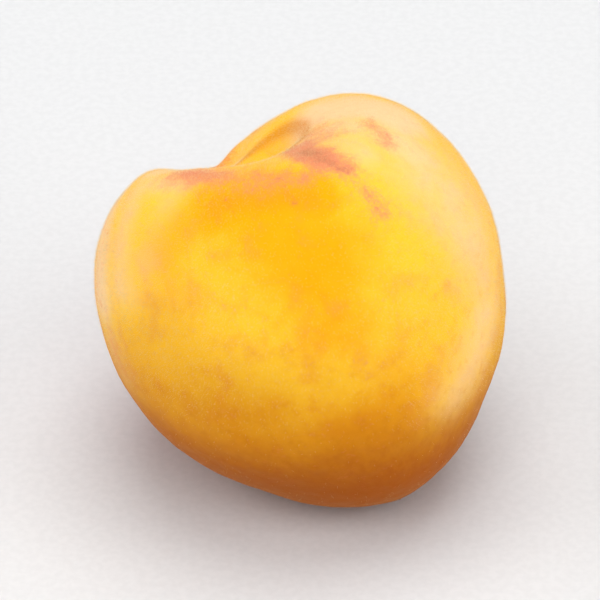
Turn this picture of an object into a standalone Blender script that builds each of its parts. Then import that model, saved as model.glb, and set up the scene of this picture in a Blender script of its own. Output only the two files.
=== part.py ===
"""Yellow peach: one closed solid, at rest on a small flat spot under its belly.

Metres, +Z up, seen from the front along +Y. The fruit is shaped in its own axes, with the stem cavity on +Z and
the apex on -Z, and is then turned to the way it lies: stem leaning back and to the left.
"""

import math

import bmesh
import bpy
import numpy as np
from mathutils import Matrix, Vector

MM = 0.001

# Half of the fruit's outline in its own axes, millimetres: (distance from the stem axis, height), from the middle of
# the stem cavity over its rim and down the cheek to the apex
OUTLINE = (
    (0.0, 17.4),
    (2.2, 17.7),
    (4.2, 19.6),
    (6.0, 22.3),
    (8.0, 25.2),
    (10.3, 27.8),
    (13.8, 29.2),
    (18.8, 28.4),
    (24.1, 26.0),
    (28.7, 21.2),
    (32.0, 14.6),
    (33.6, 7.6),
    (34.0, 0.4),
    (32.7, -7.0),
    (30.1, -14.3),
    (25.7, -21.2),
    (20.0, -27.3),
    (14.5, -32.2),
    (9.4, -35.3),
    (5.0, -37.1),
    (2.2, -37.8),
    (0.0, -38.0),
)
COLUMNS = 84
RINGS = 56
RIM_AT = 13.8  # distance of the rim's crest from the stem axis
COLUMN_CROWD = 0.35  # how far the columns close up on the suture, 0 for none
RING_CROWD = 0.035  # how far the rings close up on the stem and the tip, as a share of the outline

# Azimuths in the fruit's axes, degrees: 0 points to the right cheek, -90 to the front, 90 to the back
SUTURE_TOP = 106.0
SUTURE_LOW = 90.0
SADDLE = -58.0
BELLY = 124.0

SUTURE_RIM_DIP = 4.6  # how far the rim drops where the suture crosses it
NOTCH_REACH = 0.085  # how far down the outline that drop reaches, as a share
NOTCH_WIDTH = 8.5  # half width of that drop
SUTURE_DEPTH = 1.5  # below the cheek near the rim
SUTURE_WIDTH = 3.2  # half width of the crease
VALLEY_DEPTH = 1.2  # the wide shallow valley around the crease
VALLEY_WIDTH = 13.0
SADDLE_DIP = 3.6  # the rim's drop at the front
SADDLE_WIDTH = 15.0
SADDLE_REACH = 0.12  # as a share of the outline

RIGHT_LOBE = 0.018  # extra reach of the right cheek, as a share
OVAL = 0.002  # the same for the front and back, taken off the sides
APEX_SHIFT = 3.6  # the apex lies this far off the stem axis, away from the belly
BELLY_FULL = 3.0  # extra flesh on the side it rests on
BELLY_POLAR = 132.0  # where that is fullest, degrees from the stem pole
BELLY_SPREAD = 30.0  # its reach, degrees

FLAT_CUT = 1.0  # how much is flattened off the lowest point, the resting spot
FLAT_SNAP = 0.12  # points this near the cut are moved onto it, so that no sliver is left

# Low bumps and hollows of the surface: (azimuth, degrees from the stem pole, reach in degrees, height in millimetres)
LUMPS = (
    (170.0, 36.0, 16.0, -0.5),
    (128.0, 30.0, 13.0, -2.0),
    (-136.0, 28.0, 16.0, 1.9),
    (-172.0, 27.0, 13.0, 1.1),
    (70.0, 26.0, 14.0, -1.1),
    (124.0, 163.0, 15.0, -0.8),
    (-60.0, 62.0, 26.0, 0.35),
    (-128.0, 88.0, 30.0, -0.30),
    (18.0, 80.0, 28.0, 0.30),
    (60.0, 112.0, 24.0, -0.35),
    (152.0, 70.0, 26.0, 0.40),
    (-20.0, 126.0, 26.0, 0.25),
    (-95.0, 130.0, 24.0, -0.25),
    (178.0, 116.0, 28.0, 0.30),
)

# How the fruit lies: its stem axis and its right-cheek axis as seen from the front, raised by VIEW_RISE degrees
VIEW_RISE = 36.5
STEM_LEFT = 23.0  # degrees left of upright in that view
STEM_FORWARD = 0.20  # share of the stem axis that points at the viewer


def clear_scene():
    for obj in list(bpy.data.objects):
        bpy.data.objects.remove(obj, do_unlink=True)


def smooth_step(value, start, end):
    """0 before start, 1 after end, and an even ease between."""
    t = np.clip((value - start) / (end - start), 0.0, 1.0)
    return t * t * (3.0 - 2.0 * t)


def angle_between(first, second):
    """The signed difference of two azimuths, radians, from -pi to pi."""
    return (first - second + math.pi) % (2.0 * math.pi) - math.pi


def outline_at(share):
    """Points and outward directions on the outline at these shares of its length, by a Catmull-Rom curve."""
    knots = np.array(OUTLINE)
    knots = np.vstack((knots[1] * (-1.0, 1.0), knots, knots[-2] * (-1.0, 1.0)))
    fine = []
    for k in range(1, len(knots) - 2):
        a, b, c, d = knots[k - 1 : k + 3]
        for t in np.linspace(0.0, 1.0, 24, endpoint=False):
            fine.append(
                0.5
                * (
                    2.0 * b
                    + (c - a) * t
                    + (2.0 * a - 5.0 * b + 4.0 * c - d) * t**2
                    + (3.0 * b - a - 3.0 * c + d) * t**3
                )
            )
    fine = np.array(fine + [knots[-2]])
    run = np.concatenate(([0.0], np.cumsum(np.linalg.norm(np.diff(fine, axis=0), axis=1))))
    run /= run[-1]
    along = np.gradient(fine, run, axis=0)
    along /= np.linalg.norm(along, axis=1)[:, None]
    out = np.stack((-along[:, 1], along[:, 0]), axis=1)
    at = [np.interp(share, run, column) for column in (*fine.T, *out.T)]
    radius, height, out_radius, out_height = at
    return radius, height, out_radius, out_height


def rim_share():
    """The share of the outline's length at which it passes the crest of the rim."""
    share = np.linspace(0.0, 0.3, 400)
    radius = outline_at(share)[0]
    return float(np.interp(RIM_AT, radius, share))


def suture_azimuth(share):
    """The suture leans a little as it runs down the back."""
    lean = smooth_step(share, 0.12, 0.60)
    return np.radians(SUTURE_TOP + (SUTURE_LOW - SUTURE_TOP) * lean)


def reach_across(radius, azimuth, middle):
    """The distance from a meridian, straight across the fruit, millimetres."""
    off = np.clip(np.abs(angle_between(azimuth, middle)), 0.0, math.pi)
    return 2.0 * np.maximum(radius, 2.0) * np.sin(off / 2.0)


def inset(share, azimuth, radius, rim):
    """How far the suture and the front saddle sink the surface, millimetres."""
    across = reach_across(radius, azimuth, suture_azimuth(share))
    outer = smooth_step(share, 0.5 * rim, 1.3 * rim) * (1.0 - smooth_step(share, 0.93, 1.0))
    low = smooth_step(share, 0.70, 0.90)
    crease = SUTURE_DEPTH * (1.0 - 0.25 * smooth_step(share, 0.30, 0.55) + 0.25 * low)
    crease = crease * np.exp(-((across / SUTURE_WIDTH) ** 2))
    valley = VALLEY_DEPTH * np.exp(-((across / VALLEY_WIDTH) ** 2)) * (1.0 - 0.5 * low)
    wide = reach_across(radius, azimuth, math.radians(SADDLE))
    saddle = SADDLE_DIP * np.exp(-(((share - rim) / SADDLE_REACH) ** 2)) * np.exp(-((wide / SADDLE_WIDTH) ** 2))
    return (crease + valley) * outer + saddle * smooth_step(share, 0.02, rim)


def notch(share, azimuth, radius, rim):
    """How far the rim drops where the suture crosses it, millimetres."""
    across = reach_across(radius, azimuth, suture_azimuth(share))
    along = np.exp(-(((share - rim) / NOTCH_REACH) ** 2)) * smooth_step(share, 0.02, rim)
    return SUTURE_RIM_DIP * along * np.exp(-((across / NOTCH_WIDTH) ** 2))


def bump(direction, azimuth, polar, reach, height):
    """The height of one round bump in these unit directions; its place and reach are in degrees."""
    a, p = math.radians(azimuth), math.radians(polar)
    centre = np.array((math.sin(p) * math.cos(a), math.sin(p) * math.sin(a), math.cos(p)))
    off = np.degrees(np.arccos(np.clip(direction @ centre, -1.0, 1.0)))
    return height * np.exp(-((off / reach) ** 2))


def lumps(direction):
    """The sum of the low bumps in these unit directions."""
    return sum(bump(direction, *lump) for lump in LUMPS)


def lying_axes():
    """The fruit's three axes as columns, in the frame it lies in."""
    rise = math.radians(VIEW_RISE)
    right = Vector((1.0, 0.0, 0.0))
    up = Vector((0.0, math.sin(rise), math.cos(rise)))
    toward = Vector((0.0, -math.cos(rise), math.sin(rise)))
    flat = math.sqrt(1.0 - STEM_FORWARD**2)
    lean = math.radians(STEM_LEFT)
    stem = (up * math.cos(lean) - right * math.sin(lean)) * flat + toward * STEM_FORWARD
    cheek = right * math.cos(lean) + up * math.sin(lean)
    cheek = (cheek - stem * cheek.dot(stem)).normalized()
    back = stem.cross(cheek)
    return Matrix((cheek, back, stem)).transposed()


def surface(share, azimuth):
    """The fruit's surface in its own axes, millimetres, at shares down the outline and azimuths in radians."""
    radius, height, out_radius, out_height = outline_at(share)
    sunk = inset(share, azimuth, radius, rim_share())
    radius = radius - sunk * out_radius
    height = height - sunk * out_height - notch(share, azimuth, radius, rim_share())
    outside = smooth_step(share, 0.06, 0.24)
    radius = radius * (1.0 + outside * (RIGHT_LOBE * np.cos(azimuth) - OVAL * np.cos(2.0 * azimuth)))
    points = np.stack((radius * np.cos(azimuth), radius * np.sin(azimuth), height), axis=1)
    shift = APEX_SHIFT * smooth_step(-height, 6.0, 42.0)
    away = math.radians(BELLY + 180.0)
    points[:, 0] += shift * math.cos(away)
    points[:, 1] += shift * math.sin(away)
    direction = points / np.linalg.norm(points, axis=1)[:, None]
    swell = lumps(direction) * outside + bump(direction, BELLY, BELLY_POLAR, BELLY_SPREAD, BELLY_FULL)
    return points + direction * swell[:, None]


def add_ball():
    """A sphere primitive whose rings and columns become the rings and columns of the fruit."""
    bpy.ops.mesh.primitive_uv_sphere_add(segments=COLUMNS, ring_count=RINGS, radius=1.0)
    ball = bpy.context.object
    ball.name = ball.data.name = "peach"
    return ball


def shape_fruit(ball):
    """Moves each vertex of the sphere to its place on the fruit."""
    start = np.array([tuple(v.co) for v in ball.data.vertices])
    share = np.arccos(np.clip(start[:, 2], -1.0, 1.0)) / math.pi
    share = share - RING_CROWD * np.sin(2.0 * math.pi * share)
    azimuth = np.arctan2(start[:, 1], start[:, 0])
    suture = suture_azimuth(share)
    azimuth = azimuth - COLUMN_CROWD * np.sin(angle_between(azimuth, suture))
    points = surface(share, azimuth) * MM
    turned = points @ np.array(lying_axes()).T
    for vertex, place in zip(ball.data.vertices, turned):
        vertex.co = place


def cut_flat(ball):
    """Slices off the lowest cap, so that the fruit has a flat spot to rest on, and closes the slice."""
    body = bmesh.new()
    body.from_mesh(ball.data)
    lowest = min(v.co.z for v in body.verts)
    level = lowest + FLAT_CUT * MM
    for vertex in body.verts:
        if abs(vertex.co.z - level) < FLAT_SNAP * MM:
            vertex.co.z = level
    bmesh.ops.bisect_plane(
        body,
        geom=body.verts[:] + body.edges[:] + body.faces[:],
        dist=0.001 * MM,
        plane_co=(0.0, 0.0, level),
        plane_no=(0.0, 0.0, 1.0),
        clear_inner=True,
    )
    rim = [edge for edge in body.edges if edge.is_boundary]
    for vertex in {v for edge in rim for v in edge.verts}:
        vertex.co.z = level
    bmesh.ops.contextual_create(body, geom=rim)
    bmesh.ops.recalc_face_normals(body, faces=body.faces[:])
    for face in body.faces:
        face.smooth = True
    body.to_mesh(ball.data)
    body.free()


def settle(ball):
    """Puts the flat spot at height 0 and the middle of the width and depth on the origin."""
    places = np.array([tuple(v.co) for v in ball.data.vertices])
    low, high = places.min(axis=0), places.max(axis=0)
    middle = (low + high) / 2.0
    for vertex in ball.data.vertices:
        vertex.co = vertex.co - Vector((middle[0], middle[1], low[2]))


def add_material(ball):
    skin = bpy.data.materials.new("peach_skin")
    skin.use_nodes = True
    shader = skin.node_tree.nodes["Principled BSDF"]
    shader.inputs["Base Color"].default_value = (0.95, 0.48, 0.06, 1.0)
    shader.inputs["Roughness"].default_value = 0.62
    shader.inputs["Metallic"].default_value = 0.0
    ball.data.materials.append(skin)


def gather(ball):
    collection = bpy.data.collections.new("yellow_peach")
    bpy.context.scene.collection.children.link(collection)
    for holder in list(ball.users_collection):
        holder.objects.unlink(ball)
    collection.objects.link(ball)


def main():
    clear_scene()
    peach = add_ball()
    shape_fruit(peach)
    cut_flat(peach)
    settle(peach)
    add_material(peach)
    gather(peach)


main()
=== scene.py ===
"""Looks of the yellow peach: its downy skin, the dry stem scar and tip, and the studio it is shown in."""

import math

import bpy
import numpy as np
from mathutils import Matrix, Vector


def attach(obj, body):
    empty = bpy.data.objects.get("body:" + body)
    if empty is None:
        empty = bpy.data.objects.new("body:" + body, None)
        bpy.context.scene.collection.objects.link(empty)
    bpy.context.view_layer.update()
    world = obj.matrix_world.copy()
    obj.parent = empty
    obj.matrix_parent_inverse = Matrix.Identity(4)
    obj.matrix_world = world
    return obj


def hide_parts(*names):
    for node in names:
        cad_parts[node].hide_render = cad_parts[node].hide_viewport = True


bl_info = {
    "name": "Yellow Peach",
    "version": (1, 0, 0),
    "blender": (4, 5, 0),
    "location": "View3D > Sidebar > Peach",
    "description": "Builds the skin, stem scar, tip and studio of a yellow peach",
    "category": "Object",
}

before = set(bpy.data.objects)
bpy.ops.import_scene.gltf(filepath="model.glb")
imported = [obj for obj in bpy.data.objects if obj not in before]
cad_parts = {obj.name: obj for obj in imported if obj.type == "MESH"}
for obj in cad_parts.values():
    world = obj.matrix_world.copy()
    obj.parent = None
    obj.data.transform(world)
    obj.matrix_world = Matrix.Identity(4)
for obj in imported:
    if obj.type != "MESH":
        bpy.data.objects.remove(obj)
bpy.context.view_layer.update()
MM = 0.001

# Half of the fruit's outline in its own axes, millimetres: (distance from the stem axis, height), from the
# middle of the stem cavity over its rim and down the cheek to the tip
OUTLINE = (
    (0.0, 17.4),
    (2.2, 17.7),
    (4.2, 19.6),
    (6.0, 22.3),
    (8.0, 25.2),
    (10.3, 27.8),
    (13.8, 29.2),
    (18.8, 28.4),
    (24.1, 26.0),
    (28.7, 21.2),
    (32.0, 14.6),
    (33.6, 7.6),
    (34.0, 0.4),
    (32.7, -7.0),
    (30.1, -14.3),
    (25.7, -21.2),
    (20.0, -27.3),
    (14.5, -32.2),
    (9.4, -35.3),
    (5.0, -37.1),
    (2.2, -37.8),
    (0.0, -38.0),
)
RIM_AT = 13.8  # distance of the rim's crest from the stem axis
CURVE_STEPS = 24  # between two points of the outline
RING_CROWD = 0.035  # how far the skin's rings crowd towards both ends, as a share of the outline
COLUMN_CROWD = 0.35  # how far its columns crowd towards the suture, radians

# Azimuths in the fruit's axes, degrees: 0 points to the right cheek, -90 to the front, 90 to the back
SUTURE_TOP = 106.0
SUTURE_LOW = 90.0
SADDLE = -58.0
BELLY = 124.0

# Depths and widths in millimetres, and reaches as shares of the outline
SUTURE_RIM_DIP = 4.6
NOTCH_REACH = 0.085
NOTCH_WIDTH = 8.5
SUTURE_DEPTH = 1.5
SUTURE_WIDTH = 3.2
SUTURE_LINE = 1.5  # half width of its coloured line
SUNNY_REACH = 22.0  # how far from the suture its two sides differ in colour
VALLEY_DEPTH = 1.2
VALLEY_WIDTH = 13.0
SADDLE_DIP = 3.6
SADDLE_WIDTH = 15.0
SADDLE_REACH = 0.12
RIGHT_LOBE = 0.018
OVAL = 0.002
APEX_SHIFT = 3.6
BELLY_FULL = 3.0
BELLY_POLAR = 132.0
BELLY_SPREAD = 30.0

# Low bumps and hollows: (azimuth, degrees from the stem pole, reach in degrees, height in millimetres)
LUMPS = (
    (170.0, 36.0, 16.0, -0.5),
    (128.0, 30.0, 13.0, -2.0),
    (-136.0, 28.0, 16.0, 1.9),
    (-172.0, 27.0, 13.0, 1.1),
    (70.0, 26.0, 14.0, -1.1),
    (124.0, 163.0, 15.0, -0.8),
    (-60.0, 62.0, 26.0, 0.35),
    (-128.0, 88.0, 30.0, -0.30),
    (18.0, 80.0, 28.0, 0.30),
    (60.0, 112.0, 24.0, -0.35),
    (152.0, 70.0, 26.0, 0.40),
    (-20.0, 126.0, 26.0, 0.25),
    (-95.0, 130.0, 24.0, -0.25),
    (178.0, 116.0, 28.0, 0.30),
)

VIEW_RISE = 36.5  # the photograph's viewing angle above level, degrees
STEM_LEFT = 23.0  # how far the stem end leans to the left in that view, degrees
STEM_FORWARD = 0.20  # how far it leans towards the viewer, as a sine
FRUIT_MIDDLE = Vector((0.288, -0.832, 33.212)) * MM  # the fruit's own origin as it lies


def linear(text):
    """An sRGB hex colour as the linear values that a shader takes."""
    parts = [int(text[i : i + 2], 16) / 255.0 for i in (1, 3, 5)]
    return tuple(p / 12.92 if p <= 0.04045 else ((p + 0.055) / 1.055) ** 2.4 for p in parts) + (1.0,)


# Shape of the fruit


def smooth_step(value, start, end):
    """0 before start, 1 after end, and an even ease between."""
    t = np.clip((value - start) / (end - start), 0.0, 1.0)
    return t * t * (3.0 - 2.0 * t)


def angle_between(first, second):
    """The signed difference of two azimuths, radians, from -pi to pi."""
    return (first - second + math.pi) % (2.0 * math.pi) - math.pi


def outline_at(share):
    """Points and outward directions on the outline at these shares of its length, by a Catmull-Rom curve."""
    knots = np.array(OUTLINE)
    knots = np.vstack((knots[1] * (-1.0, 1.0), knots, knots[-2] * (-1.0, 1.0)))
    fine = []
    for k in range(1, len(knots) - 2):
        a, b, c, d = knots[k - 1 : k + 3]
        for t in np.linspace(0.0, 1.0, CURVE_STEPS, endpoint=False):
            square = 2.0 * a - 5.0 * b + 4.0 * c - d
            cube = 3.0 * b - a - 3.0 * c + d
            fine.append(0.5 * (2.0 * b + (c - a) * t + square * t**2 + cube * t**3))
    fine = np.array(fine + [knots[-2]])
    run = np.concatenate(([0.0], np.cumsum(np.linalg.norm(np.diff(fine, axis=0), axis=1))))
    run /= run[-1]
    along = np.gradient(fine, run, axis=0)
    along /= np.linalg.norm(along, axis=1)[:, None]
    out = np.stack((-along[:, 1], along[:, 0]), axis=1)
    return [np.interp(share, run, column) for column in (*fine.T, *out.T)]


def rim_share():
    """The share of the outline's length at which it passes the crest of the rim."""
    share = np.linspace(0.0, 0.3, 400)
    return float(np.interp(RIM_AT, outline_at(share)[0], share))


def suture_azimuth(share):
    """The suture leans a little as it runs down the back."""
    return np.radians(SUTURE_TOP + (SUTURE_LOW - SUTURE_TOP) * smooth_step(share, 0.12, 0.60))


def reach_across(radius, azimuth, middle):
    """The distance from a meridian, straight across the fruit, millimetres."""
    off = np.clip(np.abs(angle_between(azimuth, middle)), 0.0, math.pi)
    return 2.0 * np.maximum(radius, 2.0) * np.sin(off / 2.0)


def inset(share, azimuth, radius, rim):
    """How far the suture and the front saddle sink the surface, millimetres."""
    across = reach_across(radius, azimuth, suture_azimuth(share))
    outer = smooth_step(share, 0.5 * rim, 1.3 * rim) * (1.0 - smooth_step(share, 0.93, 1.0))
    low = smooth_step(share, 0.70, 0.90)
    crease = SUTURE_DEPTH * (1.0 - 0.25 * smooth_step(share, 0.30, 0.55) + 0.25 * low)
    crease = crease * np.exp(-((across / SUTURE_WIDTH) ** 2))
    valley = VALLEY_DEPTH * np.exp(-((across / VALLEY_WIDTH) ** 2)) * (1.0 - 0.5 * low)
    wide = reach_across(radius, azimuth, math.radians(SADDLE))
    saddle = SADDLE_DIP * np.exp(-(((share - rim) / SADDLE_REACH) ** 2))
    saddle = saddle * np.exp(-((wide / SADDLE_WIDTH) ** 2))
    return (crease + valley) * outer + saddle * smooth_step(share, 0.02, rim)


def notch(share, azimuth, radius, rim):
    """How far the rim drops where the suture crosses it, millimetres."""
    across = reach_across(radius, azimuth, suture_azimuth(share))
    along = np.exp(-(((share - rim) / NOTCH_REACH) ** 2)) * smooth_step(share, 0.02, rim)
    return SUTURE_RIM_DIP * along * np.exp(-((across / NOTCH_WIDTH) ** 2))


def bump(direction, azimuth, polar, reach, height):
    """The height of one round bump in these unit directions; its place and reach are in degrees."""
    a, p = math.radians(azimuth), math.radians(polar)
    centre = np.array((math.sin(p) * math.cos(a), math.sin(p) * math.sin(a), math.cos(p)))
    off = np.degrees(np.arccos(np.clip(direction @ centre, -1.0, 1.0)))
    return height * np.exp(-((off / reach) ** 2))


def lying_axes():
    """The fruit's three axes as columns, in the frame it lies in."""
    rise = math.radians(VIEW_RISE)
    right = Vector((1.0, 0.0, 0.0))
    up = Vector((0.0, math.sin(rise), math.cos(rise)))
    toward = Vector((0.0, -math.cos(rise), math.sin(rise)))
    flat = math.sqrt(1.0 - STEM_FORWARD**2)
    lean = math.radians(STEM_LEFT)
    stem = (up * math.cos(lean) - right * math.sin(lean)) * flat + toward * STEM_FORWARD
    cheek = right * math.cos(lean) + up * math.sin(lean)
    cheek = (cheek - stem * cheek.dot(stem)).normalized()
    return Matrix((cheek, stem.cross(cheek), stem)).transposed()


def surface(share, azimuth):
    """The fruit's surface in its own axes, millimetres, at shares of the outline and azimuths in radians."""
    radius, height, out_radius, out_height = outline_at(share)
    sunk = inset(share, azimuth, radius, rim_share())
    radius = radius - sunk * out_radius
    height = height - sunk * out_height - notch(share, azimuth, radius, rim_share())
    outside = smooth_step(share, 0.06, 0.24)
    radius = radius * (1.0 + outside * (RIGHT_LOBE * np.cos(azimuth) - OVAL * np.cos(2.0 * azimuth)))
    points = np.stack((radius * np.cos(azimuth), radius * np.sin(azimuth), height), axis=1)
    shift = APEX_SHIFT * smooth_step(-height, 6.0, 42.0)
    away = math.radians(BELLY + 180.0)
    points[:, 0] += shift * math.cos(away)
    points[:, 1] += shift * math.sin(away)
    direction = points / np.linalg.norm(points, axis=1)[:, None]
    swell = sum(bump(direction, *lump) for lump in LUMPS) * outside
    swell = swell + bump(direction, BELLY, BELLY_POLAR, BELLY_SPREAD, BELLY_FULL)
    return points + direction * swell[:, None]


def lying(share, azimuth):
    """The same surface as the fruit lies, in metres."""
    return surface(share, azimuth) * MM @ np.array(lying_axes()).T + np.array(FRUIT_MIDDLE)


# Marks on the skin, in the fruit's axes: the strokes of each kind, (start, end, width, strength), millimetres
MARKS = {
    "deep_gold": (
        ((-1.0, -28.5, 20.5), (4.0, -32.8, 11.0), 11.0, 0.95),
        ((4.0, -32.8, 11.0), (3.0, -34.0, 1.0), 9.0, 0.62),
        ((-6.5, -24.8, 23.8), (7.0, -28.2, 20.2), 6.0, 1.45),
        ((-17.0, -23.0, -14.0), (8.0, -27.0, -17.0), 9.0, 0.5),
        ((-9.0, -24.0, 24.5), (-18.0, -21.8, 21.0), 6.0, 0.70),
    ),
    # Painted highlight: cream strokes on the crests and flanks of both lobes, where light and the down's sheen
    # pale the skin
    "cream": (
        ((14.0, 0.0, 27.5), (25.4, -8.3, 23.7), 7.5, 1.15),
        ((16.0, -11.0, 26.0), (26.0, -17.0, 17.5), 6.5, 0.75),
        ((11.0, -9.0, 26.3), (18.0, -20.0, 21.5), 5.5, 0.60),
        ((26.5, -18.0, 16.0), (29.5, -17.5, 0.0), 10.5, 0.60),
        ((29.5, -17.5, 0.0), (27.0, -18.0, -11.0), 9.0, 0.52),
        ((27.0, -18.0, -11.0), (17.0, -21.0, -21.0), 8.0, 0.60),
        ((-19.8, 1.6, 26.9), (-29.5, -6.0, 15.0), 7.0, 0.95),
        ((-29.5, -6.0, 15.0), (-33.0, -8.0, 1.0), 7.0, 0.45),
        ((-17.0, -10.0, 28.6), (-26.0, -15.0, 16.0), 5.5, 0.55),
        ((-18.0, -9.0, 28.9), (-11.5, -17.0, 28.8), 4.5, 0.48),
        ((-14.0, -19.0, 27.0), (-21.0, -20.0, 20.0), 5.0, 0.36),
        ((-15.0, -6.5, 29.3), (-6.5, -14.0, 29.5), 3.2, 0.80),
    ),
    "smudge": (
        ((8.8, -12.5, 26.2), (10.2, -19.8, 25.0), 3.4, 0.98),
        ((10.0, -18.0, 25.3), (11.9, -22.6, 23.5), 3.2, 1.05),
        ((11.9, -22.6, 23.5), (14.2, -24.0, 21.8), 3.0, 0.78),
        ((11.4, -6.0, 26.3), (13.6, -13.6, 25.6), 3.8, 0.48),
        ((0.5, -23.5, 24.9), (7.5, -25.5, 22.8), 3.0, 0.50),
        ((-9.8, -14.6, 29.2), (-5.0, -19.2, 27.6), 4.2, 0.66),
        ((-6.0, -19.0, 26.8), (0.9, -24.5, 24.8), 3.0, 0.42),
        ((21.2, -12.4, 24.7), (22.6, -17.4, 21.4), 2.2, 0.52),
        ((16.4, -27.3, 16.3), (16.9, -28.6, 13.2), 2.1, 0.50),
    ),
    "scuff": (
        ((9.4, -16.6, 25.7), (11.6, -21.4, 24.1), 1.9, 0.72),
        ((12.0, -22.4, 23.6), (13.0, -23.4, 22.7), 1.1, 0.70),
        ((13.8, -24.2, 21.9), (14.6, -24.6, 21.2), 1.2, 0.60),
        ((3.9, -24.6, 24.3), (4.3, -26.2, 23.0), 1.0, 0.50),
        ((4.4, -27.6, 21.7), (4.8, -28.9, 20.2), 1.1, 0.55),
        ((16.0, -26.8, 17.4), (16.4, -28.5, 13.5), 1.2, 0.42),
        ((21.8, -13.8, 24.0), (22.3, -16.0, 22.4), 1.1, 0.42),
        ((-7.4, -24.4, 24.0), (-7.6, -27.0, 22.0), 1.4, 0.42),
        ((-4.8, -25.0, 24.3), (-4.9, -27.6, 22.4), 1.3, 0.40),
    ),
    "rubbed": (
        ((4.0, -30.0, 16.0), (-3.0, -30.0, -16.0), 19.0, 0.92),
    ),
}
SUN_SIDE = (-0.42, 0.90, -0.05)  # direction of the blush, in the fruit's axes


def stroke_strength(points, strokes):
    """How strongly strokes mark points in the fruit's axes: their strength, fading over their width."""
    total = np.zeros(len(points))
    for start, end, width, strength in strokes:
        start, run = np.array(start), np.array(end) - np.array(start)
        along = np.clip((points - start) @ run / (run @ run), 0.0, 1.0)
        off = np.linalg.norm(points - start - along[:, None] * run, axis=1)
        total = np.maximum(total, strength * np.exp(-((off / width) ** 2)))
    return total


# The down, and how close to the floor a piece may come

CLEARANCE = 0.02 * MM
HAIR_SEED = 11  # of the random draws, so that each run gives the same down
HAIR_SUNK = 0.1  # share of a hair that is under the skin
HAIR_RANGE = (0.45, 1.25)  # shortest and longest hair, as shares of the hair length
HAIR_LEAN = 0.55  # how far hairs lean every way, as a share of their length
HAIR_LAY = 0.35  # how far they all lean towards the tip
BARE_SHARE = 0.01  # share of the down that is left low on the fruit
DOWN_ABOVE, DOWN_STARTS, DOWN_FULL = 0.4 * MM, 24.0 * MM, 50.0 * MM  # heights over the floor


# Small helpers for building


def clear_selection():
    """Nothing is selected or active, so that an operator works on the new piece alone."""
    if bpy.context.object and bpy.context.object.mode != "OBJECT":
        bpy.ops.object.mode_set(mode="OBJECT")
    bpy.ops.object.select_all(action="DESELECT")


def set_attribute(mesh, name, values):
    """One number for each corner of a mesh, which its material and the down can read."""
    attribute = mesh.attributes.new(name, "FLOAT", "POINT")
    attribute.data.foreach_set("value", np.asarray(values, np.float32))


def read_all(items, name, width=3, kind=np.float64):
    """One property of all these items, a row for each."""
    values = np.empty(len(items) * width, kind)
    items.foreach_get(name, values)
    return values.reshape(-1, width)


def set_inputs(tree, node, inputs):
    """Links or sets a node's inputs, each by its name or number."""
    for name, value in inputs.items():
        if isinstance(value, bpy.types.NodeSocket):
            tree.links.new(value, node.inputs[name])
        else:
            node.inputs[name].default_value = value


def add_node(tree, kind, inputs, **settings):
    """One shader node with its settings; its inputs are sockets or plain values."""
    node = tree.nodes.new(kind)
    for name, value in settings.items():
        setattr(node, name, value)
    set_inputs(tree, node, inputs)
    return node


def new_material(name):
    """A material with nothing but its shader, its node tree and that shader."""
    material = bpy.data.materials.new(name)
    material.use_nodes = True
    tree = material.node_tree
    tree.nodes.clear()
    shader = add_node(tree, "ShaderNodeBsdfPrincipled", {})
    add_node(tree, "ShaderNodeOutputMaterial", {"Surface": shader.outputs["BSDF"]})
    return material, tree, shader


# Materials

RAMP_INPUTS = ("From Min", "From Max", "To Min", "To Max")
MIX_SHARE, MIX_UNDER, MIX_OVER, MIX_RESULT = 0, 6, 7, 2  # sockets of a colour Mix node

# Patterns in the skin: (width of a cloud in millimetres, levels of detail, strength of each finer level)
PATTERNS = {
    "clouds": (16.0, 2.0, 0.45),
    "patches": (5.0, 3.0, 0.55),
    "mottle": (2.0, 3.0, 0.60),
    "grain": (0.5, 2.0, 0.60),
    "pores": (0.33, 3.0, 0.65),
    "orange_peel": (3.2, 2.0, 0.50),
}
STREAKS_ROUND = 15.0  # streaks in one radian round the fruit
STREAK_STRETCH = 0.035  # one millimetre of height counts as this much of a radian
HIGHLIGHT_KEEPS_SHADE = 0.60  # how far the painted highlight's cream keeps the painted shade off
LOBE_TINT = 0.34  # how much redder the blush is on the sunny side of the suture
PORE_HEIGHT = 0.05  # shares of the bump's distance, one millimetre
PEEL_HEIGHT = 0.16
SCAR_FIBRES = 2.6  # in a millimetre
PAPER_FIBRES = 0.7  # in a millimetre

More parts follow.
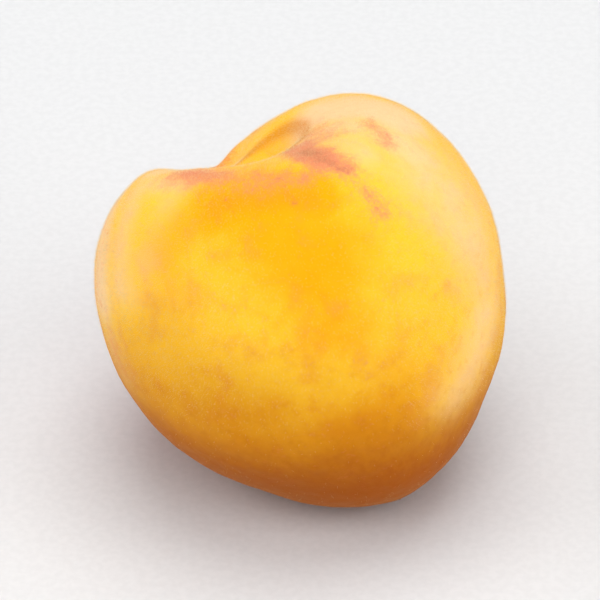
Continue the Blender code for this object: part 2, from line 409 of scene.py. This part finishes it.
# The skin's coats of colour over its pale gold, from the first to the last, each with its ramps: (what it
# follows, from, to, share before, share after). A coat is as thick as the product of its ramps.
COATS = (
    # Deep gold band down the near side, with amber in the deepest of it
    ("gold", ("deep", 0.0, 1.0, 0.0, 1.0)),
    ("amber", ("deep", 1.0, 1.55, 0.0, 0.70)),
    # Warmer patches and mottling
    ("apricot", ("patches", 0.50, 0.72, 0.0, 0.28)),
    ("amber", ("mottle", 0.52, 0.75, 0.0, 0.14)),
    # Painted highlight: cream on the crests and flanks of both lobes, where light and the down's sheen pale the
    # skin; and pale grain where the down lies thicker
    ("cream", ("pale", 0.05, 1.05, 0.0, 0.90)),
    ("cream", ("grain", 0.50, 0.80, 0.0, 0.20), ("deep", 0.0, 0.8, 1.0, 0.05)),
    # Faint streaks down the meridians
    ("amber", ("streaks", 0.50, 0.72, 0.0, 1.0), ("height", 22.0, -24.0, 0.06, 0.34)),
    # Painted shade: ochre and then bronze on the lower side as the fruit lies, darker towards the floor
    ("ochre_shade_and_wall", ("low", 0.05, 0.90, 0.0, 0.90)),
    ("shade_bronze", ("lowest", 0.0, 0.82, 0.0, 0.88)),
    # Thin blush, which hardly shows on the bronze of the painted shade, and full blush
    ("salmon", ("blush", 0.20, 0.72, 0.0, 0.75), ("lowest", 0.0, 0.60, 1.0, 0.10)),
    ("coral", ("blush", 0.55, 1.15, 0.0, 0.80)),
    # Pink smudges by the rim on the near side, with small brown scuffs in them
    ("rose", ("pink", 0.05, 0.80, 0.0, 0.95)),
    ("russet", ("scuffs", 0.25, 1.0, 0.0, 0.75)),
    # The suture is a thin warmer line
    ("coral", ("suture",), ("height", 22.0, 8.0, 0.06, 0.50)),
    # The cavity's wall is ochre below the rim, with a green-yellow ring about the stem
    ("ochre_shade_and_wall", ("cavity", 0.0, 0.09, 0.0, 0.70), ("cavity", 0.14, 0.32, 1.0, 0.20)),
    ("stem_green", ("cavity", 0.62, 1.0, 0.0, 0.75)),
)


def ramps(tree, *steps):
    """The product of smooth ramps, each (socket, from, to, value before, value after), or a socket alone."""
    total = None
    for socket, *limits in steps:
        if limits:
            inputs = {"Value": socket, **dict(zip(RAMP_INPUTS, limits))}
            ramp = add_node(tree, "ShaderNodeMapRange", inputs, interpolation_type="SMOOTHSTEP")
            socket = ramp.outputs["Result"]
        if total is not None:
            socket = add_node(tree, "ShaderNodeMath", {0: total, 1: socket}, operation="MULTIPLY").outputs[0]
        total = socket
    return total


def coat(tree, under, over, *steps):
    """Lays one colour over another, as thickly as the product of these ramps."""
    inputs = {MIX_SHARE: ramps(tree, *steps), MIX_UNDER: under, MIX_OVER: over}
    return add_node(tree, "ShaderNodeMix", inputs, data_type="RGBA", clamp_result=True).outputs[MIX_RESULT]


def broken(tree, value, *patterns):
    """Value raised and lowered by 0 to 1 patterns, each with its height, to break the edge of a mark."""
    for pattern, height in patterns:
        centred = add_node(tree, "ShaderNodeMath", {0: pattern, 1: 0.5}, operation="SUBTRACT")
        inputs = {0: centred.outputs[0], 1: height, 2: value}
        value = add_node(tree, "ShaderNodeMath", inputs, operation="MULTIPLY_ADD").outputs[0]
    return value


def peach_skin_material(look):
    """Ripe peach skin: golden, under short pale down that makes it matte and glow at grazing angles."""
    material, tree, shader = new_material("downy_peach_skin")
    lying_place = add_node(tree, "ShaderNodeTexCoord", {}).outputs["Object"]
    turned = {
        "Vector": lying_place,
        "Location": FRUIT_MIDDLE,
        "Rotation": lying_axes().to_euler(),
        "Scale": (MM, MM, MM),
    }
    fruit = add_node(tree, "ShaderNodeMapping", turned, vector_type="TEXTURE").outputs["Vector"]
    split = add_node(tree, "ShaderNodeSeparateXYZ", {"Vector": fruit}).outputs
    sources = {"height": split["Z"]}
    for name in (*MARKS, "suture", "cavity", "sunny_lobe"):
        sources[name] = add_node(tree, "ShaderNodeAttribute", {}, attribute_name=name).outputs["Fac"]
    for name, (size, detail, rough) in PATTERNS.items():
        inputs = {"Vector": fruit, "Scale": 1.0 / size, "Detail": detail, "Roughness": rough}
        sources[name] = add_node(tree, "ShaderNodeTexNoise", inputs).outputs["Fac"]
    clouds, patches, mottle, grain = (sources[name] for name in ("clouds", "patches", "mottle", "grain"))

    # Streaks run from stem to tip, so their pattern lies on the unit circle and is stretched along the height
    flat = add_node(tree, "ShaderNodeCombineXYZ", {"X": split["X"], "Y": split["Y"]}).outputs["Vector"]
    around = add_node(tree, "ShaderNodeVectorMath", {0: flat}, operation="NORMALIZE").outputs["Vector"]
    inputs = {0: split["Z"], 1: STREAK_STRETCH}
    lift = add_node(tree, "ShaderNodeMath", inputs, operation="MULTIPLY").outputs[0]
    lift = add_node(tree, "ShaderNodeCombineXYZ", {"Z": lift}).outputs["Vector"]
    meridian = add_node(tree, "ShaderNodeVectorMath", {0: around, 1: lift}, operation="ADD").outputs["Vector"]
    inputs = {"Vector": meridian, "Scale": STREAKS_ROUND, "Detail": 4.0, "Roughness": 0.6, "Distortion": 0.15}
    streaks = sources["streaks"] = add_node(tree, "ShaderNodeTexNoise", inputs).outputs["Fac"]

    sources["deep"] = broken(tree, sources["deep_gold"], (clouds, 0.6), (patches, 0.5))
    # The painted highlight's cream strokes, with broken edges
    sources["pale"] = broken(tree, sources["cream"], (clouds, 0.4), (patches, 0.5))

    # Height over the surface that the fruit lies on, in millimetres, for the painted shade, ochre and then
    # bronze, which darkens the skin towards the floor; the painted shade keeps off the painted highlight's
    # cream
    under = add_node(tree, "ShaderNodeSeparateXYZ", {"Vector": lying_place}).outputs["Z"]
    under = add_node(tree, "ShaderNodeMath", {0: under, 1: 1.0 / MM}, operation="MULTIPLY").outputs[0]
    low = broken(tree, ramps(tree, (under, 65.0, 8.0, 0.0, 1.0)), (clouds, 0.42), (patches, 0.20))
    inputs = {0: sources["cream"], 1: -HIGHLIGHT_KEEPS_SHADE, 2: low}
    sources["low"] = add_node(tree, "ShaderNodeMath", inputs, operation="MULTIPLY_ADD").outputs[0]
    # The deepest painted shade, bronze, nearest the floor
    lowest = ramps(tree, (under, 40.0, 2.0, 0.0, 1.0))
    sources["lowest"] = broken(tree, lowest, (clouds, 0.20), (streaks, 0.25))

    # Blush on the side that faced the sun, away from the viewer: stippled at its edge and streaked
    direction = add_node(tree, "ShaderNodeVectorMath", {0: fruit}, operation="NORMALIZE").outputs["Vector"]
    sun = add_node(tree, "ShaderNodeVectorMath", {0: direction, 1: SUN_SIDE}, operation="DOT_PRODUCT")
    inputs = {0: sources["sunny_lobe"], 1: LOBE_TINT, 2: sun.outputs["Value"]}
    blush = add_node(tree, "ShaderNodeMath", inputs, operation="MULTIPLY_ADD").outputs[0]
    breaks = (clouds, 0.60), (patches, 0.70), (streaks, 0.90), (mottle, 0.35), (grain, 0.75)
    sources["blush"] = broken(tree, blush, *breaks)
    sources["pink"] = broken(tree, sources["smudge"], (patches, 0.5), (mottle, 0.6), (grain, 0.5))
    sources["scuffs"] = broken(tree, sources["scuff"], (mottle, 0.7), (grain, 0.5))

    skin = linear(look.pale_gold)
    for colour, *steps in COATS:
        steps = [(sources[name], *limits) for name, *limits in steps]
        skin = coat(tree, skin, linear(getattr(look, colour)), *steps)

    # Pores a third of a millimetre wide, over a soft orange-peel waviness of about 3 mm
    inputs = {0: sources["pores"], 1: PORE_HEIGHT}
    relief = add_node(tree, "ShaderNodeMath", inputs, operation="MULTIPLY").outputs[0]
    inputs = {0: sources["orange_peel"], 1: PEEL_HEIGHT, 2: relief}
    relief = add_node(tree, "ShaderNodeMath", inputs, operation="MULTIPLY_ADD").outputs[0]
    bumps = add_node(tree, "ShaderNodeBump", {"Height": relief, "Strength": 0.55, "Distance": MM})

    # The down lies unevenly, so the gloss under it varies
    inputs = {
        "Base Color": skin,
        "Roughness": ramps(tree, (mottle, 0.3, 0.75, 0.55, 0.74)),
        "IOR": 1.40,
        "Specular IOR Level": 0.08,
        "Subsurface Weight": 0.12,
        "Subsurface Radius": (1.0, 0.42, 0.10),
        "Subsurface Scale": 4.0 * MM,
        "Sheen Weight": 0.18,
        "Sheen Roughness": 0.45,
        "Sheen Tint": linear(look.glow),
        "Normal": bumps.outputs["Normal"],
    }
    set_inputs(tree, shader, inputs)
    return material


def down_material(look):
    """The down itself: short colourless hairs, which show as a cream bloom where the eye looks along them."""
    material, tree, shader = new_material("fruit_down")
    inputs = {"Base Color": linear(look.down), "Roughness": 0.6, "Specular IOR Level": 0.3}
    set_inputs(tree, shader, inputs)
    return material


def dry_stem_material(look):
    """The scar where the stem came off: dry, brown and fibrous."""
    material, tree, shader = new_material("dry_stem_scar")
    place = add_node(tree, "ShaderNodeTexCoord", {}).outputs["Object"]
    inputs = {"Vector": place, "Scale": SCAR_FIBRES / MM, "Detail": 4.0, "Roughness": 0.7}
    fibres = add_node(tree, "ShaderNodeTexNoise", inputs).outputs["Fac"]
    bumps = add_node(tree, "ShaderNodeBump", {"Height": fibres, "Strength": 0.8, "Distance": 0.2 * MM})
    inputs = {
        "Base Color": coat(tree, linear(look.bark), linear(look.dry_fibre), (fibres, 0.35, 0.65, 0.0, 1.0)),
        "Roughness": 0.85,
        "Normal": bumps.outputs["Normal"],
    }
    set_inputs(tree, shader, inputs)
    return material


def floor_material(look):
    """Matt seamless studio paper, with its faint fibre clouding."""
    material, tree, shader = new_material("matt_studio_paper")
    place = add_node(tree, "ShaderNodeTexCoord", {}).outputs["Object"]
    inputs = {"Vector": place, "Scale": PAPER_FIBRES / MM, "Detail": 2.0}
    fibre = add_node(tree, "ShaderNodeTexNoise", inputs).outputs["Fac"]
    inputs = {
        "Base Color": coat(tree, linear(look.paper), linear(look.paper_light), (fibre, 0.3, 0.7, 0.0, 1.0)),
        "Roughness": 0.9,
        "Specular IOR Level": 0.2,
    }
    set_inputs(tree, shader, inputs)
    return material


# Settings


def colour_property(name, description, default):
    return bpy.props.StringProperty(name=name, description=description, default=default)


class PeachLook(bpy.types.PropertyGroup):
    """Colours of the skin, the scar and the studio, as sRGB hex values."""

    gold: colour_property("Gold", "Deep ground colour of the skin", "#FCAA00")
    pale_gold: colour_property("Pale gold", "Common ground colour of the skin", "#FFC72E")
    # Cream is painted highlight on the crests and flanks, and the pale grain where the down lies thicker
    cream: colour_property("Cream", "Palest ground colour", "#FBD4A4")
    # Ochre is painted shade on the lower side, and the cavity wall's own colour
    ochre_shade_and_wall: colour_property("Ochre", "Shaded side and the cavity's wall", "#D47E04")
    # Bronze is the deepest painted shade, nearest the floor
    shade_bronze: colour_property("Bronze", "Deepest ground colour, underneath", "#9A4200")
    amber: colour_property("Amber", "Mottling and streaks in the ground colour", "#EE980E")
    apricot: colour_property("Apricot", "Patches in the ground colour", "#F49B38")
    salmon: colour_property("Salmon", "Thin blush", "#F08A4A")
    coral: colour_property("Coral", "Full blush", "#C93F22")
    rose: colour_property("Rose", "Smudges by the rim", "#E48A66")
    russet: colour_property("Russet", "Small scuffs", "#B56E4C")
    stem_green: colour_property("Stem green", "Ring about the stem", "#C9B040")
    down: colour_property("Down", "Colour of the down", "#FFE3B0")
    glow: colour_property("Glow", "Colour of the down's glow, warmed by the skin", "#FFCE86")
    bark: colour_property("Bark", "Dark of the stem scar", "#4A2E18")
    dry_fibre: colour_property("Dry fibre", "Light of the stem scar", "#A9805A")
    paper: colour_property("Paper", "Studio floor", "#D9D9D9")
    paper_light: colour_property("Paper light", "Studio floor's clouding", "#DDDDDD")


class PeachSizes(bpy.types.PropertyGroup):
    """Sizes of the modelled pieces."""

    columns: bpy.props.IntProperty(name="Columns", description="Columns of faces round the skin", default=288)
    rings: bpy.props.IntProperty(name="Rings", description="Rings of faces down the skin", default=256)
    unevenness: bpy.props.FloatProperty(
        name="Unevenness", description="Height of the skin's low waves", default=0.16 * MM, unit="LENGTH"
    )
    hair_length: bpy.props.FloatProperty(
        name="Hair length", description="Length of the down, before it varies", default=0.50 * MM, unit="LENGTH"
    )
    hair_width: bpy.props.FloatProperty(
        name="Hair width", description="Width of a hair's root", default=0.021 * MM, unit="LENGTH"
    )
    down_pieces: bpy.props.IntProperty(name="Down pieces", description="Pieces that hold the down", default=3)
    hairs_a_piece: bpy.props.IntProperty(name="Hairs", description="Hairs in each piece", default=45000)
    scar_radius: bpy.props.FloatProperty(
        name="Scar radius", description="Radius of the stem scar", default=2.1 * MM, unit="LENGTH"
    )
    tip_radius: bpy.props.FloatProperty(
        name="Tip radius", description="Radius of the dry tip", default=0.45 * MM, unit="LENGTH"
    )


class PeachStudio(bpy.types.PropertyGroup):
    """Camera and lights."""

    rise: bpy.props.FloatProperty(
        name="Rise", description="Camera's height angle", default=math.radians(VIEW_RISE), subtype="ANGLE"
    )
    distance: bpy.props.FloatProperty(
        name="Distance", description="Camera to fruit", default=0.70, unit="LENGTH"
    )
    lens: bpy.props.FloatProperty(name="Lens", description="Focal length", default=250.0, unit="CAMERA")
    overhead: bpy.props.FloatProperty(
        name="Overhead", description="Light from above, watts a square metre", default=1.48
    )
    front: bpy.props.FloatProperty(
        name="Front", description="Light from the front, watts a square metre", default=1.10
    )
    sides: bpy.props.FloatProperty(
        name="Sides", description="Light from each side, watts a square metre", default=0.9
    )


# Operators


class OBJECT_OT_peach_skin(bpy.types.Operator):
    """Shapes a sphere into the fruit and gives it its downy skin"""

    bl_idname = "object.peach_skin"
    bl_label = "Peach Skin"

    def execute(self, context):
        sizes = context.scene.peach_sizes
        clear_selection()
        bpy.ops.mesh.primitive_uv_sphere_add(segments=sizes.columns, ring_count=sizes.rings, radius=1.0)
        skin = context.object
        skin.name = skin.data.name = "peach_skin"
        mesh = skin.data
        ball = read_all(mesh.vertices, "co")
        share = np.arccos(np.clip(ball[:, 2], -1.0, 1.0)) / math.pi
        azimuth = np.arctan2(ball[:, 1], ball[:, 0])
        # The sphere's corners come in another order on each run, so they are numbered by ring and column
        column = np.round(azimuth / math.tau * sizes.columns) % sizes.columns
        set_attribute(mesh, "number", np.round(share * sizes.rings) * sizes.columns + column)
        share = share - RING_CROWD * np.sin(math.tau * share)
        azimuth = azimuth - COLUMN_CROWD * np.sin(angle_between(azimuth, suture_azimuth(share)))
        places = lying(share, azimuth)
        places[:, 2] = np.maximum(places[:, 2], 0.0)
        mesh.vertices.foreach_set("co", places.ravel())

        radius = outline_at(share)[0]
        across = reach_across(radius, azimuth, suture_azimuth(share))
        line = np.exp(-((across / SUTURE_LINE) ** 2)) * smooth_step(share, 0.05, 0.12)
        set_attribute(mesh, "suture", line * (1.0 - smooth_step(share, 0.6, 0.95) * 0.5))
        set_attribute(mesh, "cavity", 1.0 - smooth_step(share, 0.0, rim_share()))
        turn = angle_between(azimuth, suture_azimuth(share))
        side = smooth_step(across * np.sign(turn), -0.8, 0.8) - 0.5
        set_attribute(mesh, "sunny_lobe", side * np.exp(-((across / SUNNY_REACH) ** 2)) * (share > 0.1))
        own_places = surface(share, azimuth)
        for name, strokes in MARKS.items():
            set_attribute(mesh, name, stroke_strength(own_places, strokes))
        mesh.update()

        self.roughen(skin, sizes.unevenness)
        bpy.ops.object.shade_smooth()
        mesh.materials.append(peach_skin_material(context.scene.peach_look))
        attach(skin, "root")
        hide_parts("peach")
        return {"FINISHED"}

    def roughen(self, skin, height):
        """Low waves 6 and 2.5 mm wide, so that the highlights aren't those of a polished form."""
        for size, share in ((6.0, 1.0), (2.5, 0.35)):
            waves = bpy.data.textures.new(f"waves_{size:.1f}mm", "CLOUDS")
            waves.noise_scale = size * MM
            waves.noise_depth = 2
            push = skin.modifiers.new("waves", "DISPLACE")
            push.texture = waves
            push.texture_coords = "LOCAL"
            push.mid_level = 0.5
            push.strength = height * share * 2.0
            bpy.ops.object.modifier_apply(modifier=push.name)
        for vertex in skin.data.vertices:
            if vertex.co.z < CLEARANCE:
                vertex.co.z = 0.0


class OBJECT_OT_peach_down(bpy.types.Operator):
    """Covers the skin with short pale hairs, in pieces of even size"""

    bl_idname = "object.peach_down"
    bl_label = "Peach Down"

    def execute(self, context):
        sizes = context.scene.peach_sizes
        material = down_material(context.scene.peach_look)
        draw = np.random.default_rng(HAIR_SEED)
        hair, faces = self.model_hair(sizes.hair_width)
        for index in range(sizes.down_pieces):
            roots, outward = self.scatter(draw, sizes.hairs_a_piece)
            places = self.grow(draw, hair, roots, outward, sizes.hair_length)
            self.join(f"down_{index + 1}", places, faces, material)
        return {"FINISHED"}

    def model_hair(self, width):
        """One hair of unit length along +Z, a thin cone with three sides whose root is sunk."""
        clear_selection()
        bpy.ops.mesh.primitive_cone_add(
            vertices=3, radius1=width / 2.0, radius2=0.0, depth=1.0, location=(0.0, 0.0, 0.5 - HAIR_SUNK)
        )
        bpy.ops.object.transform_apply(location=True)
        cone = bpy.context.object
        hair = np.array([vertex.co[:] for vertex in cone.data.vertices])
        faces = np.array([face.vertices[:] for face in cone.data.polygons])
        bpy.data.objects.remove(cone)
        return hair, faces

    def scatter(self, draw, count):
        """Random places on the skin and its outward direction there; few are low down or on rubbed skin."""
        mesh = bpy.data.objects["peach_skin"].data
        mesh.calc_loop_triangles()
        points = read_all(mesh.vertices, "co")
        normals = read_all(mesh.vertices, "normal")
        corners = read_all(mesh.loop_triangles, "vertices", kind=np.int32)
        number = read_all(mesh.attributes["number"].data, "value", 1)[:, 0]
        corners = np.take_along_axis(corners, np.argsort(number[corners], axis=1), axis=1)
        corners = corners[np.lexsort(number[corners].T)]
        first, second, third = (points[corners[:, k]] for k in range(3))
        area = np.linalg.norm(np.cross(second - first, third - first), axis=1)
        rubbed = read_all(mesh.attributes["rubbed"].data, "value", 1)[:, 0]
        low = points[corners][:, :, 2].max(axis=1)
        area *= BARE_SHARE + (1.0 - BARE_SHARE) * smooth_step(low, DOWN_STARTS, DOWN_FULL)
        area *= 1.0 - rubbed[corners].mean(axis=1)
        area[low < DOWN_ABOVE] = 0.0
        chosen = corners[draw.choice(len(corners), count, p=area / area.sum())]
        weights = draw.dirichlet((1.0, 1.0, 1.0), count)
        roots = np.einsum("ij,ijk->ik", weights, points[chosen])
        outward = np.einsum("ij,ijk->ik", weights, normals[chosen])
        return roots, outward / np.linalg.norm(outward, axis=1)[:, None]

    def grow(self, draw, hair, roots, outward, length):
        """The corners of each hair: they lean every way, a little more towards the tip of the fruit."""
        count = len(roots)
        lay = -np.array(lying_axes().col[2])
        lean = draw.normal(0.0, HAIR_LEAN, (count, 3)) + lay * HAIR_LAY
        along = outward + lean - outward * np.einsum("ij,ij->i", lean, outward)[:, None]
        along /= np.linalg.norm(along, axis=1)[:, None]
        side = np.cross(along, draw.normal(0.0, 1.0, (count, 3)))
        side /= np.linalg.norm(side, axis=1)[:, None]
        across = np.cross(along, side)
        long = length * draw.uniform(*HAIR_RANGE, count)
        turned = hair[None, :, 0, None] * side[:, None] + hair[None, :, 1, None] * across[:, None]
        turned = turned + hair[None, :, 2, None] * along[:, None] * long[:, None, None]
        places = roots[:, None] + turned
        return places[places[:, :, 2].min(axis=1) > CLEARANCE]

    def join(self, name, places, faces, material):
        """Puts the hairs in one mesh."""
        count = len(places)
        sides = faces.shape[1]
        corners = (faces[None] + np.arange(count)[:, None, None] * places.shape[1]).reshape(-1)
        mesh = bpy.data.meshes.new(name)
        mesh.vertices.add(count * places.shape[1])
        mesh.vertices.foreach_set("co", places.ravel())
        mesh.loops.add(len(corners))
        mesh.loops.foreach_set("vertex_index", corners.astype(np.int32))
        mesh.polygons.add(len(corners) // sides)
        mesh.polygons.foreach_set("loop_start", np.arange(0, len(corners), sides, dtype=np.int32))
        mesh.update(calc_edges=True)
        mesh.shade_smooth()
        mesh.materials.append(material)
        piece = bpy.data.objects.new(name, mesh)
        bpy.context.scene.collection.objects.link(piece)
        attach(piece, "root")


SCAR_HEIGHT = 0.9 * MM
TIP_HEIGHT = 0.35 * MM
TORN_WIDTH = 0.5 * MM
TORN_RELIEF = 0.25 * MM


class OBJECT_OT_stem_scar(bpy.types.Operator):
    """Builds the dry stem scar in the cavity and the dry tip at the other end"""

    bl_idname = "object.stem_scar"
    bl_label = "Stem Scar and Tip"

    def execute(self, context):
        sizes = context.scene.peach_sizes
        material = dry_stem_material(context.scene.peach_look)
        self.build("stem_scar", 0.0, sizes.scar_radius, SCAR_HEIGHT, material)
        self.build("dry_tip", 1.0, sizes.tip_radius, TIP_HEIGHT, material)
        return {"FINISHED"}

    def build(self, name, share, radius, height, material):
        """A low torn button, set square to the skin at the top or bottom of the fruit's axis."""
        clear_selection()
        bpy.ops.mesh.primitive_uv_sphere_add(segments=40, ring_count=20, radius=1.0)
        piece = bpy.context.object
        piece.name = piece.data.name = name
        base = Vector(lying(np.array([share]), np.array([0.0]))[0])
        stem = lying_axes().col[2].normalized() * (1.0 if share < 0.5 else -1.0)
        side = lying_axes().col[0].normalized()
        turn = Matrix((side, stem.cross(side), stem)).transposed()
        for vertex in piece.data.vertices:
            x, y, z = vertex.co
            angle = math.atan2(y, x)
            ragged = 1.0 + 0.10 * math.sin(3.0 * angle + 0.6) + 0.06 * math.sin(7.0 * angle + 2.0)
            dish = 0.35 * math.exp(-((math.hypot(x, y) / 0.5) ** 2)) if z > 0.0 else 0.0
            local = Vector((x * radius * ragged, y * radius * ragged, (z - dish) * height))
            vertex.co = base + turn @ local
        rough = bpy.data.textures.new(f"{name}_fibres", "CLOUDS")
        rough.noise_scale = TORN_WIDTH
        push = piece.modifiers.new("fibres", "DISPLACE")
        push.texture = rough
        push.texture_coords = "LOCAL"
        push.strength = TORN_RELIEF
        bpy.ops.object.modifier_apply(modifier=push.name)
        bpy.ops.object.shade_smooth()
        piece.data.materials.append(material)
        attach(piece, "root")


AIM = Vector((0.0, -1.4, 32.8)) * MM  # what the camera looks at
ROOM_COLOUR = "#F4F6FA"
SKYLIGHT_SPREAD = math.radians(44.0)
# Each skylight: (name, where it comes from, the setting that gives its strength, its share of that)
SKYLIGHTS = (
    ("top_light", (0.05, 0.15, 1.00), "overhead", 1.0),
    ("front_light", (-0.05, -0.75, 0.92), "front", 1.0),
    ("left_light", (-0.80, -0.05, 0.42), "sides", 1.10),
    ("right_light", (0.80, -0.32, 0.36), "sides", 1.17),
)


class OBJECT_OT_peach_studio(bpy.types.Operator):
    """Sets the pale floor, the soft lights and the camera"""

    bl_idname = "object.peach_studio"
    bl_label = "Peach Studio"

    def execute(self, context):
        scene = context.scene
        studio = scene.peach_studio
        clear_selection()
        bpy.ops.mesh.primitive_plane_add(size=60.0, location=(0.0, 0.0, 0.0))
        floor = context.object
        floor.name = floor.data.name = "floor"
        floor.data.materials.append(floor_material(scene.peach_look))

        for name, source, setting, share in SKYLIGHTS:
            self.skylight(name, Vector(source), getattr(studio, setting) * share)

        scene.world = self.soft_room()
        scene.view_settings.view_transform = "Standard"

        bpy.ops.object.camera_add()
        camera = context.object
        camera.name = "photo_camera"
        back = Vector((0.0, -math.cos(studio.rise), math.sin(studio.rise)))
        camera.location = AIM + back * studio.distance
        camera.rotation_euler = (-back).to_track_quat("-Z", "Y").to_euler()
        camera.data.lens = studio.lens
        camera.data.clip_start = 0.01
        camera.data.clip_end = 20.0
        scene.camera = camera
        return {"FINISHED"}

    def soft_room(self):
        """A room with pale walls, dim above them, and a bright ceiling; heights are sines of elevation."""
        world = bpy.data.worlds.new("soft_room")
        world.use_nodes = True
        tree = world.node_tree
        background = tree.nodes["Background"]
        sky = add_node(tree, "ShaderNodeTexCoord", {}).outputs["Generated"]
        height = add_node(tree, "ShaderNodeSeparateXYZ", {"Vector": sky}).outputs["Z"]
        walls = ramps(tree, (height, 0.06, 0.22, 0.92, 0.10))
        ceiling = ramps(tree, (height, 0.55, 0.85, 0.0, 0.35))
        strength = add_node(tree, "ShaderNodeMath", {0: walls, 1: ceiling}, operation="ADD").outputs[0]
        set_inputs(tree, background, {"Color": linear(ROOM_COLOUR), "Strength": strength})
        return world

    def skylight(self, name, source, strength):
        """Light from a wide patch of sky, which reaches all of the floor and so leaves no dark horizon."""
        bpy.ops.object.light_add(type="SUN", location=source)
        light = bpy.context.object
        light.name = name
        light.data.energy = strength
        light.data.angle = SKYLIGHT_SPREAD
        light.rotation_euler = (-source).to_track_quat("-Z", "Y").to_euler()


class VIEW3D_PT_peach(bpy.types.Panel):
    """Lists the pieces of the peach and their settings"""

    bl_label = "Yellow Peach"
    bl_idname = "VIEW3D_PT_peach"
    bl_space_type = "VIEW_3D"
    bl_region_type = "UI"
    bl_category = "Peach"

    def draw(self, context):
        for operator in STEPS:
            self.layout.operator(operator)
        for group in (context.scene.peach_sizes, context.scene.peach_look, context.scene.peach_studio):
            box = self.layout.box()
            for name in group.__annotations__:
                box.prop(group, name)


STEPS = ("object.peach_skin", "object.peach_down", "object.stem_scar", "object.peach_studio")
CLASSES = (
    PeachLook,
    PeachSizes,
    PeachStudio,
    OBJECT_OT_peach_skin,
    OBJECT_OT_peach_down,
    OBJECT_OT_stem_scar,
    OBJECT_OT_peach_studio,
    VIEW3D_PT_peach,
)


def register():
    for cls in CLASSES:
        bpy.utils.register_class(cls)
    bpy.types.Scene.peach_look = bpy.props.PointerProperty(type=PeachLook)
    bpy.types.Scene.peach_sizes = bpy.props.PointerProperty(type=PeachSizes)
    bpy.types.Scene.peach_studio = bpy.props.PointerProperty(type=PeachStudio)


def unregister():
    del bpy.types.Scene.peach_look
    del bpy.types.Scene.peach_sizes
    del bpy.types.Scene.peach_studio
    for cls in reversed(CLASSES):
        bpy.utils.unregister_class(cls)


def main():
    register()
    bpy.ops.object.peach_skin()
    bpy.ops.object.peach_down()
    bpy.ops.object.stem_scar()
    bpy.ops.object.peach_studio()


if __name__ == "__main__":
    main()
